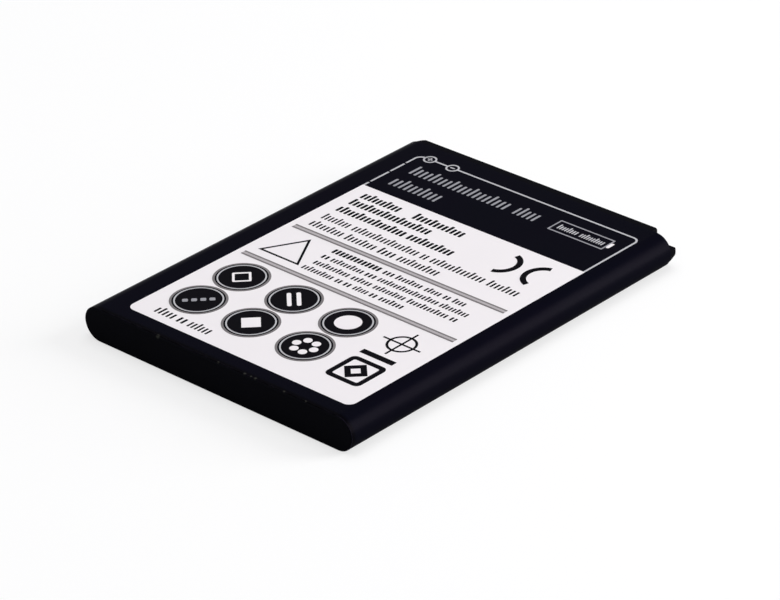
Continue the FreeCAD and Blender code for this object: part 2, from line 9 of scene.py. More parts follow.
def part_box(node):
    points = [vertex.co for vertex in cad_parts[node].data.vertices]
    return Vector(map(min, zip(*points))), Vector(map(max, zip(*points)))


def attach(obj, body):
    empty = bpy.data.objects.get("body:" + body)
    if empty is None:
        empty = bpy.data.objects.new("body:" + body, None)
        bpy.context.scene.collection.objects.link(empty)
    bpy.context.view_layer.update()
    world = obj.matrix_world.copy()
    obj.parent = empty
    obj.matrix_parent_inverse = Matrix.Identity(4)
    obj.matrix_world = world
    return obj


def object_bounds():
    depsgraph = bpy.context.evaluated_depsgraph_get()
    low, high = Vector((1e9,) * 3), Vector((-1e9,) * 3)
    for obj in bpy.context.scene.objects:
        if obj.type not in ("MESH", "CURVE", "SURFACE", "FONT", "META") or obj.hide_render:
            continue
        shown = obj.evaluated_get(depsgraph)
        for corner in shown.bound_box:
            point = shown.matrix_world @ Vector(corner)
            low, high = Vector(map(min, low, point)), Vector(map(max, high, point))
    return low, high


# Looks of the phone battery pack: printed film, moulded ends, plated contacts and what is inside.
# Shapes are worked out in millimetres in the pack's own frame, and scaled to metres as they are made.
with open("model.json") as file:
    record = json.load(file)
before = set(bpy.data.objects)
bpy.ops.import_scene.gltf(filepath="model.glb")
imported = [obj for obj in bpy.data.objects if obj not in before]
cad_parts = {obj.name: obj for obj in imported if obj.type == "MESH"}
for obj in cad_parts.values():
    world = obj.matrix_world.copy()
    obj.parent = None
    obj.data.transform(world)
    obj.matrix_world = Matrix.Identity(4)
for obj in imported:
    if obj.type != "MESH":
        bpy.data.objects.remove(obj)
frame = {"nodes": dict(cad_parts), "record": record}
nodes = frame["nodes"]
cadBox = [list(corner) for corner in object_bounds()]
mm = 0.001
print("frame loaded:", len(nodes), "nodes")


# Shader kit

class Wire:  # a shader socket that takes part in Python sums
    def __init__(self, paint, socket):
        self.paint = paint
        self.socket = socket

    def sum(self, operation, first, second):
        return self.paint.node("Math", {"operation": operation}, {0: first, 1: second})

    def __add__(self, other):
        return self.sum("ADD", self, other)

    def __radd__(self, other):
        return self.sum("ADD", other, self)

    def __sub__(self, other):
        return self.sum("SUBTRACT", self, other)

    def __rsub__(self, other):
        return self.sum("SUBTRACT", other, self)

    def __mul__(self, other):
        return self.sum("MULTIPLY", self, other)

    def __rmul__(self, other):
        return self.sum("MULTIPLY", other, self)


class Paint:  # one material, or the world, and the nodes in it
    def __init__(self, owner):
        self.owner = owner
        owner.use_nodes = True
        self.tree = owner.node_tree
        self.tree.nodes.clear()

    # Adds any node: its type, its settings, then the values or links of its sockets
    def node(self, kind, settings=None, sockets=None, output=0):
        made = self.tree.nodes.new("ShaderNode" + kind)
        for name, value in (settings or {}).items():
            if name == "stops":
                ramp = made.color_ramp.elements
                for spot, (position, tone) in enumerate(value):
                    stop = ramp[spot] if spot < 2 else ramp.new(position)
                    stop.position = position
                    stop.color = (*tone, 1)
            else:
                setattr(made, name, value)
        for name, value in (sockets or {}).items():
            if isinstance(value, Wire):
                self.tree.links.new(value.socket, made.inputs[name])
            else:
                made.inputs[name].default_value = value
        return Wire(self, made.outputs[output]) if made.outputs else made

    def place(self):
        return self.node("TexCoord", output="Object")

    def axis(self, place, letter):
        return self.node("SeparateXYZ", None, {0: place}, letter)

    # Noise from 0 to 1 whose grain is given in millimetres along each axis
    def noise(self, place, grain, detail=2.0):
        grains = grain if isinstance(grain, tuple) else (grain, grain, grain)
        scaled = self.node("Mapping", None, {"Vector": place, "Scale": tuple(1 / (g * mm) for g in grains)})
        return self.node("TexNoise", None, {"Vector": scaled, "Scale": 1.0, "Detail": detail})

    def mix(self, share, first, second):
        tones = [tone if isinstance(tone, Wire) else (*tone, 1) for tone in (first, second)]
        return self.node("Mix", {"data_type": "RGBA"}, {0: share, 6: tones[0], 7: tones[1]}, 2)

    # A soft step from 0 to 1 as the value goes from low to high
    def step(self, value, low, high):
        sockets = {"Value": value, "From Min": low, "From Max": high}
        return self.node("MapRange", {"interpolation_type": "SMOOTHSTEP"}, sockets)

    # 1 within a half width of a middle along an axis, both in millimetres, with soft sides
    def stripe(self, value, middle, half, soft=0.02):
        off = self.node("Math", {"operation": "ABSOLUTE"}, {0: value - middle * mm})
        return 1 - self.step(off, (half - soft) * mm, (half + soft) * mm)

    def bump(self, height, depth):
        return self.node("Bump", None, {"Strength": 1.0, "Distance": depth * mm, "Height": height})

    def body(self, color, roughness, bump=None, **constants):
        sockets = {"Base Color": color, "Roughness": roughness}
        if bump:
            sockets["Normal"] = bump
        for name, value in constants.items():
            sockets[name.replace("_", " ")] = value
        return self.node("BsdfPrincipled", None, sockets)

    def finish(self, shader):
        kind = "World" if isinstance(self.owner, bpy.types.World) else "Material"
        self.node("Output" + kind, None, {"Surface": shader})
        return self.owner


def newPaint(name):
    return Paint(bpy.data.materials.new(name))


fineDetail = 3.0  # how rough the noise of a fine grain is

# Film: black, slightly blue, with the faint ripple of a skin that was shrunk on. Painted shade darkens it
# towards its edge at the tail. Its cut rims are paler and carry a painted highlight, brightest in a painted
# glint at the tail's right corner.
film = {
    "tone": (0.0020, 0.0026, 0.0057),
    "cloudTone": (0.0026, 0.0020, 0.0061),
    # Tone of the pale cut rims and the seam, also used for the painted highlight on the rims and the painted
    # glint
    "rimAndGlintTone": (0.022, 0.020, 0.036),
    "specular": 0.016,
    "specularTint": (0.86, 0.70, 1.0, 1.0),
    "smooth": 0.34,
    "rough": 0.42,
    "cloudGrain": 9.0,
    "grain": 0.22,
    "grainDepth": 0.004,
    "rippleGrain": (14.0, 40.0, 14.0),
    "rippleDepth": 0.05,
    "seamX": 8.0,
    "seamWidth": 0.22,
    "seamDepth": 0.06,
    "seamSoft": 0.05,
    "seamShare": 0.5,
    "rimReach": (0.004, 0.03),
    "rimGrain": 2.5,
    "rimSpread": (0.42, 0.62),
    "rimShare": 0.4,
    # Painted glint: the tail's rim past this X, in millimetres, is lit brighter at the right corner, over
    # this reach and by this share
    "cornerGlintX": 24.5,
    "cornerGlintReach": 1.5,
    "cornerGlintShare": 0.6,
    "backReach": (0.2, 0.3),
    # Painted shade at the tail: the tone the film darkens to, the reach in millimetres and the share
    "tailShadeTone": (0.0006, 0.0005, 0.0006),
    "tailShadeReach": 1.1,
    "tailShadeShare": 0.85,
}

# Pale nicks along the film's cut edge at the tail: a place and a radius each. core is the part of the radius
# that has the full tone.
nicks = {
    "tone": (0.030, 0.031, 0.027),
    "core": 0.35,
    "places": (
        (-11.8, -37.40, 5.72, 0.48), (0.9, -37.30, 5.86, 0.26), (6.3, -37.20, 5.90, 0.32),
        (7.6, -37.20, 5.90, 0.24), (8.5, -37.20, 5.90, 0.34), (14.4, -37.25, 5.90, 0.28),
        (18.8, -37.25, 5.90, 0.24),
    ),
}


def nickMask(paint, place):
    mask = None
    for x, y, z, radius in nicks["places"]:
        sockets = {0: place, 1: (x * mm, y * mm, z * mm)}
        off = paint.node("VectorMath", {"operation": "DISTANCE"}, sockets, "Value")
        spot = 1 - paint.step(off, radius * nicks["core"] * mm, radius * mm)
        mask = spot if mask is None else mask + spot
    return mask


def paintFilm(look):
    paint = newPaint("printedFilm")
    place = paint.place()
    across, along, up = (paint.axis(place, letter) for letter in "XYZ")
    low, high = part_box("wrap_label")
    cloud = paint.noise(place, look["cloudGrain"])
    grain = paint.noise(place, look["grain"], fineDetail)
    ripple = paint.noise(place, look["rippleGrain"], 1.0)
    edge, inner = (reach * mm for reach in look["rimReach"])
    tail = 1 - paint.step(along, low.y + edge, low.y + inner)
    nose = paint.step(along, high.y - inner, high.y - edge)
    # Painted glint: a highlight on the tail's rim towards the right corner
    cornerGlint = paint.step(across, look["cornerGlintX"] * mm, (look["cornerGlintX"] + look["cornerGlintReach"]) * mm)
    patchy = paint.step(paint.noise(place, look["rimGrain"]), *look["rimSpread"])
    # The cut rims are paler in patches, partly a painted highlight, and the painted glint adds to the tail's
    # rim
    rim = (tail + nose) * patchy * look["rimShare"] + tail * cornerGlint * look["cornerGlintShare"]
    under = 1 - paint.step(up, *(low.z + reach * mm for reach in look["backReach"]))
    seam = under * paint.stripe(across, look["seamX"], look["seamWidth"] / 2, look["seamSoft"])
    tone = paint.mix(cloud, look["tone"], look["cloudTone"])
    # Painted shade: the film darkens over its last reach at the tail
    tailShade = look["tailShadeShare"] * (1 - paint.step(along, low.y, low.y + look["tailShadeReach"] * mm))
    tone = paint.mix(tailShade, tone, look["tailShadeTone"])
    tone = paint.mix(rim + seam * look["seamShare"], tone, look["rimAndGlintTone"])
    tone = paint.mix(nickMask(paint, place), tone, nicks["tone"])
    rough = look["smooth"] + (look["rough"] - look["smooth"]) * cloud
    fine = paint.bump(grain, look["grainDepth"])
    height = ripple * look["rippleDepth"] - seam * look["seamDepth"]
    wavy = paint.node("Bump", None, {"Strength": 1.0, "Distance": mm, "Height": height, "Normal": fine})
    gloss = {"Specular_IOR_Level": look["specular"], "Specular_Tint": look["specularTint"]}
    return paint.finish(paint.body(tone, rough, wavy, **gloss))


# Plain finishes: two tones that drift into each other, a range of gloss and a fine grain in the surface.
# Sizes are in millimetres. A grain of three numbers is drawn out along an axis, as in a brushed or rolled
# metal.
finishes = {
    "cap_plastic": {
        "tones": ((0.0024, 0.0025, 0.0042), (0.0036, 0.0034, 0.0056)),
        "gloss": (0.48, 0.60), "grain": 0.12, "depth": 0.006, "drift": 5.0, "specular": 0.02,
    },
    "tail_plastic": {
        "tones": ((0.0033, 0.0034, 0.0047), (0.0050, 0.0051, 0.0072)),
        "gloss": (0.60, 0.74), "grain": 0.16, "depth": 0.008, "drift": 4.0, "specular": 0.012,
        "nicked": True,
    },
    "can_aluminium": {
        "tones": ((0.56, 0.57, 0.58), (0.64, 0.65, 0.66)),
        "gloss": (0.30, 0.42), "grain": (0.05, 4.0, 0.05), "depth": 0.002, "drift": 8.0, "metal": 1.0,
    },
    "gasket_plastic": {
        "tones": ((0.010, 0.010, 0.012), (0.016, 0.016, 0.018)),
        "gloss": (0.45, 0.55), "grain": 0.08, "depth": 0.003, "drift": 1.5,
    },
    "terminal_nickel": {
        "tones": ((0.52, 0.50, 0.46), (0.60, 0.58, 0.54)),
        "gloss": (0.20, 0.32), "grain": 0.06, "depth": 0.002, "drift": 1.0, "metal": 1.0,
    },
    "plug_aluminium": {
        "tones": ((0.58, 0.58, 0.58), (0.66, 0.66, 0.66)),
        "gloss": (0.26, 0.38), "grain": 0.05, "depth": 0.002, "drift": 0.6, "metal": 1.0,
    },
    "adhesive_pad": {
        "tones": ((0.030, 0.030, 0.032), (0.055, 0.055, 0.058)),
        "gloss": (0.80, 0.95), "grain": 0.10, "depth": 0.012, "drift": 1.2,
    },
    "insulating_paper": {
        "tones": ((0.30, 0.36, 0.30), (0.38, 0.44, 0.36)),
        "gloss": (0.78, 0.90), "grain": (0.25, 0.08, 0.08), "depth": 0.008, "drift": 2.0,
    },
    "board_laminate": {
        "tones": ((0.006, 0.070, 0.022), (0.010, 0.105, 0.034)),
        "gloss": (0.24, 0.34), "grain": (0.30, 0.30, 0.06), "depth": 0.004, "drift": 3.0,
    },
    "strip_nickel": {
        "tones": ((0.50, 0.49, 0.46), (0.58, 0.57, 0.54)),
        "gloss": (0.26, 0.40), "grain": (1.5, 0.04, 0.04), "depth": 0.002, "drift": 1.5, "metal": 1.0,
    },
    "fuse_resin": {
        "tones": ((0.020, 0.018, 0.018), (0.034, 0.030, 0.028)),
        "gloss": (0.40, 0.55), "grain": 0.10, "depth": 0.006, "drift": 1.0,
    },
    "chip_resin": {
        "tones": ((0.008, 0.008, 0.009), (0.014, 0.014, 0.015)),
        "gloss": (0.50, 0.62), "grain": 0.06, "depth": 0.005, "drift": 0.8,
    },
    "resistor_ceramic": {
        "tones": ((0.010, 0.010, 0.012), (0.020, 0.020, 0.022)),
        "gloss": (0.30, 0.42), "grain": 0.06, "depth": 0.003, "drift": 0.5,
    },
    "capacitor_ceramic": {
        "tones": ((0.30, 0.19, 0.11), (0.40, 0.27, 0.16)),
        "gloss": (0.42, 0.55), "grain": 0.06, "depth": 0.004, "drift": 0.5,
    },
}
driftShare = 0.7  # the drift's share of the way from one tone to the other; the grain makes the rest
plainSpecular = 0.5  # where a finish gives none

# The small parts are plated at both ends of one axis, over a reach in millimetres: the end caps of a chip
# part, or the leads of a moulded one, which stand out past its body
solder = {
    "tone": (0.62, 0.62, 0.60),
    "gloss": 0.28,
    "parts": {
        "thermistor": ("X", 0.35),
        "identity_resistor": ("X", 0.35),
        "filter_resistor": ("X", 0.35),
        "filter_capacitor": ("X", 0.35),
        "bypass_capacitor": ("X", 0.35),
        "sense_resistor": ("X", 0.35),
        "protection_chip": ("Z", 0.75),
        "switch_transistor": ("X", 0.75),
    },
}


# A mask of what is plated on a small part: all that lies past its bare middle
def platedMask(paint, place, node):
    letter, reach = solder["parts"][node]
    low, high = (corner["XYZ".index(letter)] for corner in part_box(node))
    middle = (low + high) / 2 / mm
    half = (high - low) / 2 / mm - reach
    return 1 - paint.stripe(paint.axis(place, letter), middle, half)


def paintPlain(name, look, platedNode=None):
    paint = newPaint(name)
    place = paint.place()
    drift = paint.noise(place, look["drift"])
    grain = paint.noise(place, look["grain"], fineDetail)
    tone = paint.mix(drift * driftShare + grain * (1 - driftShare), *look["tones"])
    low, high = look["gloss"]
    rough = low + (high - low) * grain
    metal = look.get("metal", 0.0)
    if look.get("nicked"):
        tone = paint.mix(nickMask(paint, place), tone, nicks["tone"])
    if platedNode:
        mask = platedMask(paint, place, platedNode)
        tone = paint.mix(mask, tone, solder["tone"])
        rough = rough * (1 - mask) + solder["gloss"] * mask
        metal = mask
    bump = paint.bump(grain, look["depth"])
    specular = look.get("specular", plainSpecular)
    return paint.finish(paint.body(tone, rough, bump, Metallic=metal, Specular_IOR_Level=specular))


# Contacts: gold plate, a little dull, with a smoother upright track where a spring has wiped each one
contacts = {
    "tone": (0.78, 0.50, 0.17),
    "wipedTone": (0.90, 0.63, 0.25),
    "dull": 0.36,
    "wiped": 0.20,
    "track": 0.30,
    "trackSoft": 0.18,
    "scratch": (0.06, 0.06, 1.2),
    "scratchSpread": (0.30, 0.62),
    "depth": 0.004,
}


def paintContact(name, look):
    paint = newPaint(name + "Gold")
    place = paint.place()
    low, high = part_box(name)
    middle = (low.x + high.x) / 2 / mm
    width = (high.x - low.x) / mm
    scratches = paint.noise(place, look["scratch"], fineDetail)
    track = paint.stripe(paint.axis(place, "X"), middle, width * look["track"], look["trackSoft"])
    wiped = track * paint.step(scratches, *look["scratchSpread"])
    tone = paint.mix(wiped, look["tone"], look["wipedTone"])
    rough = look["dull"] + (look["wiped"] - look["dull"]) * wiped
    bump = paint.bump(scratches, look["depth"])
    return paint.finish(paint.body(tone, rough, bump, Metallic=1.0))


# Each CAD node gets the finish of its slot in the record. What is plated or wiped gets one of its own.
def dressNodes():
    plain = {}
    for part in frame["record"]["subparts"]:
        name = part["node"]
        slotName = part["material_slot"]
        if slotName == "printed_film":
            material = paintFilm(film)
        elif slotName == "contact_gold":
            material = paintContact(name, contacts)
        elif name in solder["parts"]:
            material = paintPlain(name + "Finish", finishes[slotName], name)
        else:
            if slotName not in plain:
                plain[slotName] = paintPlain(slotName + "Finish", finishes[slotName])
            material = plain[slotName]
        nodes[name].data.materials.clear()
        nodes[name].data.materials.append(material)


dressNodes()
print("CAD nodes dressed")


# Print: each colour of ink is a very thin slab on the film. A shape of level 1 lies on the film, and one of
# level 2 or 3 rises that many times as high, so that it shows over what is under it.
inks = {
    "white": {"tone": (0.865, 0.830, 0.848), "other": (0.895, 0.860, 0.877), "gloss": (0.42, 0.52)},
    "silver": {"tone": (0.48, 0.48, 0.51), "other": (0.56, 0.56, 0.58), "gloss": (0.42, 0.52)},
    "mist": {"tone": (0.44, 0.41, 0.42), "other": (0.50, 0.47, 0.48), "gloss": (0.42, 0.52)},
    "pale": {"tone": (0.30, 0.30, 0.33), "other": (0.37, 0.37, 0.40), "gloss": (0.42, 0.52)},
    "grey": {"tone": (0.180, 0.168, 0.172), "other": (0.225, 0.212, 0.216), "gloss": (0.42, 0.52)},
    "black": {"tone": (0.0030, 0.0027, 0.0044), "other": (0.0048, 0.0042, 0.0064), "gloss": (0.38, 0.48)},
}
inkSurface = {"drift": 6.0, "driftShare": 0.6, "grain": 0.14, "depth": 0.002, "specular": 0.02}
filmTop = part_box("wrap_label")[1].z / mm
inkLevel = 0.02
inkSink = 0.01


def paintInk(name, look, surface):
    paint = newPaint(name + "Ink")
    place = paint.place()
    drift = paint.noise(place, surface["drift"])
    grain = paint.noise(place, surface["grain"], fineDetail)
    share = surface["driftShare"]
    tone = paint.mix(drift * share + grain * (1 - share), look["tone"], look["other"])
    low, high = look["gloss"]
    rough = low + (high - low) * grain
    bump = paint.bump(grain, surface["depth"])
    return paint.finish(paint.body(tone, rough, bump, Specular_IOR_Level=surface["specular"]))


inkMaterials = {name: paintInk(name, look, inkSurface) for name, look in inks.items()}


# Outlines of rounded rectangles, one row each: every corner is an arc of its radius about a point that lies
# that radius inside both sides, and the whole is turned about its middle. Radii may differ by corner, from
# the one at +X and +Y round to the one at +X and -Y.
def roundedOutlines(middles, extents, radii, turn=0.0, steps=6):
    middles = np.atleast_2d(np.asarray(middles, float))
    count = len(middles)
    extents = np.broadcast_to(np.asarray(extents, float), (count, 2))
    radii = np.broadcast_to(np.asarray(radii, float), (count, 4))
    angle = np.radians(90 * (np.arange(4)[:, None] + np.linspace(0, 1, steps)[None, :]))
    signs = np.array([[1, 1], [-1, 1], [-1, -1], [1, -1]], float)
    ring = np.stack([np.cos(angle), np.sin(angle)], axis=-1)
    corners = signs[None] * (extents[:, None] / 2 - radii[:, :, None])
    points = corners[:, :, None] + radii[:, :, None, None] * ring[None]
    points = points.reshape(count, -1, 2)
    swing = np.radians(turn)
    spin = np.array([[math.cos(swing), math.sin(swing)], [-math.sin(swing), math.cos(swing)]])
    return points @ spin + middles[:, None]


# Straight-sided figures: corners evenly round a circle, the first at its top
def figure(middle, radius, corners):
    angle = math.pi / 2 + np.arange(corners) * 2 * math.pi / corners
    return np.asarray(middle, float) + radius * np.stack([np.cos(angle), np.sin(angle)], axis=-1)[None]


# The same outline moved in by a distance: each corner goes in along its bisector, further where it is sharper
def inset(outline, distance):
    before = outline - np.roll(outline, 1, axis=1)
    after = np.roll(outline, -1, axis=1) - outline
    before = before / np.linalg.norm(before, axis=2, keepdims=True)
    after = after / np.linalg.norm(after, axis=2, keepdims=True)
    normal = np.stack([-before[..., 1] - after[..., 1], before[..., 0] + after[..., 0]], axis=-1)
    cosine = 1 + (before * after).sum(axis=2, keepdims=True)
    return outline + normal * distance / cosine


# Filled slabs: a bottom loop and a top loop of each outline, with walls between them and a face on each
def slabs(outlines, bottom, top):
    count, length, _ = outlines.shape
    points = np.empty((count, 2, length, 3))
    points[..., :2] = outlines[:, None]
    points[:, 0, :, 2] = bottom
    points[:, 1, :, 2] = top
    number = np.arange(count * 2 * length).reshape(count, 2, length)
    ahead = np.roll(number, -1, axis=2)
    walls = np.stack([number[:, 0], ahead[:, 0], ahead[:, 1], number[:, 1]], axis=-1).reshape(-1, 4)
    faces = walls.tolist() + number[:, 1].tolist() + number[:, 0, ::-1].tolist()
    return points.reshape(-1, 3), faces


# Hollow slabs: a square-edged profile, carried along the space between an outer line and an inner one
def bands(outer, inner, bottom, top, closed=True):
    count, length, _ = outer.shape
    points = np.empty((count, 4, length, 3))
    points[:, 0:2, :, :2] = outer[:, None]
    points[:, 2:4, :, :2] = inner[:, None]
    points[:, [0, 3], :, 2] = bottom
    points[:, [1, 2], :, 2] = top
    number = np.arange(count * 4 * length).reshape(count, 4, length)
    beside = np.roll(number, -1, axis=1)
    here = [number, np.roll(number, -1, axis=2), np.roll(beside, -1, axis=2), beside]
    if not closed:
        here = [loop[..., :-1] for loop in here]
    faces = np.stack(here, axis=-1).reshape(-1, 4).tolist()
    if not closed:
        faces += number[:, :, 0].tolist() + number[:, ::-1, -1].tolist()
    return points.reshape(-1, 3), faces


# Arcs of a ring: an outer and an inner arc about a middle
def arcs(middles, radius, stroke, start, end, level, steps=14):
    angle = np.radians(np.linspace(start, end, steps))
    ring = np.stack([np.cos(angle), np.sin(angle)], axis=-1)[None]
    middles = np.atleast_2d(np.asarray(middles, float))[:, None]
    low, high = levelHeights(level)
    return bands(middles + radius * ring, middles + (radius - stroke) * ring, low, high, closed=False)


# A slab starts a little inside the film, and ends above it by its level times one layer
def levelHeights(level):
    return filmTop - inkSink, filmTop + inkLevel * level


def plates(outlines, level):
    return slabs(outlines, *levelHeights(level))


def rings(outer, inner, level):
    return bands(outer, inner, *levelHeights(level))


# Puts shapes of one ink into one piece that rides with the pack
def addPrint(name, ink, shapes):
    points = []
    faces = []
    start = 0
    for shapePoints, shapeFaces in shapes:
        points.append(shapePoints)
        faces += [[corner + start for corner in face] for face in shapeFaces]
        start += len(shapePoints)
    mesh = bpy.data.meshes.new(name)
    mesh.from_pydata((np.concatenate(points) * mm).tolist(), [], faces)
    mesh.validate()
    mesh.materials.append(inkMaterials[ink])
    piece = bpy.data.objects.new(name, mesh)
    bpy.context.scene.collection.objects.link(piece)
    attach(piece, "root")


# The printed label: a black band with a thin white frame over a white panel
label = {
    "left": -21.80,
    "right": 24.80,
    "bottom": -34.25,
    "top": 32.50,
    "bandBottom": 18.77,
    "corner": 1.35,
    "squareCorner": 0.02,
    "frameStroke": 0.34,
    "gapPlaces": (20.2, 24.95, 28.75),
    "gapSize": 0.42,
}


def printPanel(look):
    width = look["right"] - look["left"]
    height = look["bandBottom"] - look["bottom"]
    middle = ((look["left"] + look["right"]) / 2, (look["bandBottom"] + look["bottom"]) / 2)
    corners = (look["squareCorner"], look["squareCorner"], look["corner"], look["corner"])
    outline = roundedOutlines(middle, (width, height), corners, steps=8)
    addPrint("white_panel", "white", [plates(outline, 1)])


# Circles: squares whose corner radius is half their side
def circles(middles, radius, steps=14):
    return roundedOutlines(middles, (2 * radius, 2 * radius), radius, steps=steps)


# Upright or level bars, given by their ends along X and along Y
def bars(rows, level, radius=0.05):
    rows = np.asarray(rows, float)
    middles = (rows[:, [0, 2]] + rows[:, [1, 3]]) / 2
    extents = rows[:, [1, 3]] - rows[:, [0, 2]]
    return plates(roundedOutlines(middles, extents, radius, steps=3), level)


# Plus and minus marks in small rings that interrupt the frame
polarity = {
    "plusX": -19.40,
    "minusX": -14.50,
    "radius": 1.18,
    "stroke": 0.30,
    "signLength": 0.95,
    "signStroke": 0.26,
    "signCorner": 0.04,
}


def printFrame(look, marks):
    stroke = look["frameStroke"]
    left, right, top = look["left"], look["right"], look["top"]
    corner = look["corner"]
    half = look["gapSize"] / 2
    gaps = [end for gap in look["gapPlaces"] for end in (gap - half, gap + half)]
    stops = [look["bandBottom"], *gaps, top - corner]
    sides = [(left, left + stroke, low, high) for low, high in zip(stops[::2], stops[1::2])]
    sides.append((right - stroke, right, look["bandBottom"], top - corner))
    reach = marks["radius"]
    spans = (
        (left + corner, marks["plusX"] - reach),
        (marks["plusX"] + reach, marks["minusX"] - reach),
        (marks["minusX"] + reach, right - corner),
    )
    sides += [(start, end, top - stroke, top) for start, end in spans]
    shapes = [
        bars(sides, 1, look["squareCorner"]),
        arcs((left + corner, top - corner), corner, stroke, 180, 90, 1),
        arcs((right - corner, top - corner), corner, stroke, 90, 0, 1),
    ]
    addPrint("band_frame_line", "silver", shapes)

    middles = [(marks["plusX"], top - stroke / 2), (marks["minusX"], top - stroke / 2)]
    outer = circles(middles, reach, 9)
    inner = circles(middles, reach - marks["stroke"], 9)
    long, thin, rounding = marks["signLength"], marks["signStroke"], marks["signCorner"]
    signs = plates(roundedOutlines(middles, (long, thin), rounding, steps=3), 1)
    upright = roundedOutlines(middles[:1], (thin, long), rounding, steps=3)
    addPrint("polarity_marks", "silver", [rings(outer, inner, 1), signs, plates(upright, 1)])


# A line of words becomes a row of plain rounded ticks: evenly spaced along each word, with every fourth one
# tall. The narrowest tick's width sets how round their corners are.
def wordTicks(words, baseline, tall, low, pitch, fill, level, rounding=0.3):
    middles = []
    extents = []
    for start, end in words:
        count = max(1, round((end - start) / pitch))
        step = (end - start) / count
        number = np.arange(count)
        height = np.where((number * 3 + count) % 4 == 0, tall, low)
        middles.append(np.stack([start + step * (number + 0.5), baseline + height / 2], axis=-1))
        extents.append(np.stack([np.full(count, step * fill), height], axis=-1))
    middles = np.concatenate(middles)
    extents = np.concatenate(extents)
    return plates(roundedOutlines(middles, extents, extents.min() * rounding, steps=3), level)


bandWords = {
    "ink": "pale",
    "heading": {"tall": 3.0, "low": 2.3, "pitch": 1.05, "fill": 0.42},
    "lines": (
        ("heading", 26.45, ((-19.2, 1.6), (2.9, 7.8))),
        ("heading", 21.50, ((-19.2, -8.7),)),
    ),
}
panelWords = {
    "ink": "black",
    "bold": {"tall": 2.1, "low": 1.65, "pitch": 0.86, "fill": 0.62},
    "regular": {"tall": 1.95, "low": 1.5, "pitch": 0.78, "fill": 0.48},
    "smallBold": {"tall": 1.40, "low": 1.35, "pitch": 0.80, "fill": 0.66},
    "small": {"tall": 1.40, "low": 1.10, "pitch": 0.66, "fill": 0.54},
    "lines": (
        ("bold", 15.00, ((-19.3, -11.0), (-8.1, 2.5))),
        ("bold", 12.30, ((-19.3, -2.2),)),
        ("bold", 9.30, ((-19.3, -4.8), (-4.2, 5.2))),
        ("regular", 5.90, ((-19.3, -13.4), (-12.8, 1.1), (1.7, 3.2), (3.8, 14.8), (15.5, 21.7))),
        ("regular", 3.05, ((-19.3, -12.3), (-11.7, -5.3), (-4.7, -1.2), (-0.6, 7.9))),
        ("smallBold", -1.50, ((-10.0, 0.1),)),
        ("small", -1.50, ((0.75, 3.0), (3.4, 8.8), (9.4, 12.7), (13.2, 14.6), (15.1, 17.7))),
        ("small", -3.75, ((-10.2, -8.6), (-8.2, -1.4), (-1.0, 1.3), (1.75, 14.1), (14.5, 20.2))),
        ("small", -5.95, ((-9.8, -2.3), (-1.8, 2.3), (2.8, 9.3), (9.8, 18.0), (18.5, 19.9))),
        ("small", -8.15, ((-10.2, -3.7), (-3.2, -1.8), (-1.4, 0.1), (0.6, 3.6), (4.0, 5.5), (6.0, 10.9))),
        ("regular", -32.60, ((-17.9, -13.7), (-13.2, -11.3), (-10.8, -6.2))),
    ),
}


def printWords(name, look, level):
    shapes = []
    for style, baseline, words in look["lines"]:
        shapes.append(wordTicks(words, baseline, level=level, **look[style]))
    addPrint(name, look["ink"], shapes)


# A small drawing of a cell in the band: an outline, a nub at its end and two rows of ticks inside
cellMark = {
    "left": 10.9,
    "right": 22.0,
    "bottom": 26.1,
    "top": 29.7,
    "stroke": 0.26,
    "corner": 0.1,
    "innerCorner": 0.05,
    "nubWidth": 0.6,
    "nubHeight": 1.7,
    "nubCorner": 0.2,
    "rowEnds": ((0.9, -0.6), (-0.1, -0.8)),
    "ticks": {"tall": 1.5, "low": 1.1, "pitch": 0.5, "fill": 0.52},
}


def printCellMark(look):
    left, right = look["left"], look["right"]
    across, along = (left + right) / 2, (look["bottom"] + look["top"]) / 2
    size = np.array([right - left, look["top"] - look["bottom"]])
    outer = roundedOutlines((across, along), size, look["corner"], steps=3)
    inner = roundedOutlines((across, along), size - 2 * look["stroke"], look["innerCorner"], steps=3)
    addPrint("cell_mark_outline", "pale", [rings(outer, inner, 1)])
    half = look["nubHeight"] / 2
    nub = (right, right + look["nubWidth"], along - half, along + half)
    addPrint("cell_mark_nub", "white", [bars([nub], 1, look["nubCorner"])])
    first, second = look["rowEnds"]
    rows = ((left + first[0], across + first[1]), (across + second[0], right + second[1]))
    ticks = wordTicks(rows, along - look["ticks"]["tall"] / 2, level=1, **look["ticks"])
    addPrint("cell_mark_ticks", "silver", [ticks])


# Two grey rules across the panel, each a misty band between two darker lines
rules = {"left": -20.55, "right": 23.70, "width": 1.12, "stroke": 0.30, "places": (1.41, -10.11)}


def printRules(look):
    left, right = look["left"], look["right"]
    reach, stroke = look["width"] / 2, look["stroke"]
    fields = [(left, right, place - reach, place + reach) for place in look["places"]]
    addPrint("rule_bands", "mist", [bars(fields, 2)])
    lows = [place + shift for shift in (-reach, reach - stroke) for place in look["places"]]
    lines = [(left, right, low, low + stroke) for low in lows]
    addPrint("rule_lines", "grey", [bars(lines, 3)])


# Thin three-sided outline beside the small words
triangle = {"middle": (-15.15, -5.35), "radius": 5.0, "stroke": 0.40}


def printTriangle(look):
    outer = figure(look["middle"], look["radius"], 3)
    addPrint("triangle_outline", "black", [rings(outer, inset(outer, look["stroke"]), 2)])


# Two thick arcs back to back at the panel's upper right
archMark = {
    "middles": ((12.5, 13.1), (21.2, 13.1)),
    "facing": (0, 180),
    "halfAngle": 74,
    "radius": 3.6,
    "stroke": 0.98,
    "steps": 24,
}


def printArchMark(look):
    radius, stroke, half = look["radius"], look["stroke"], look["halfAngle"]
    shapes = [
        arcs(middle, radius, stroke, angle - half, angle + half, 2, look["steps"])
        for middle, angle in zip(look["middles"], look["facing"])
    ]
    addPrint("arch_mark", "black", shapes)


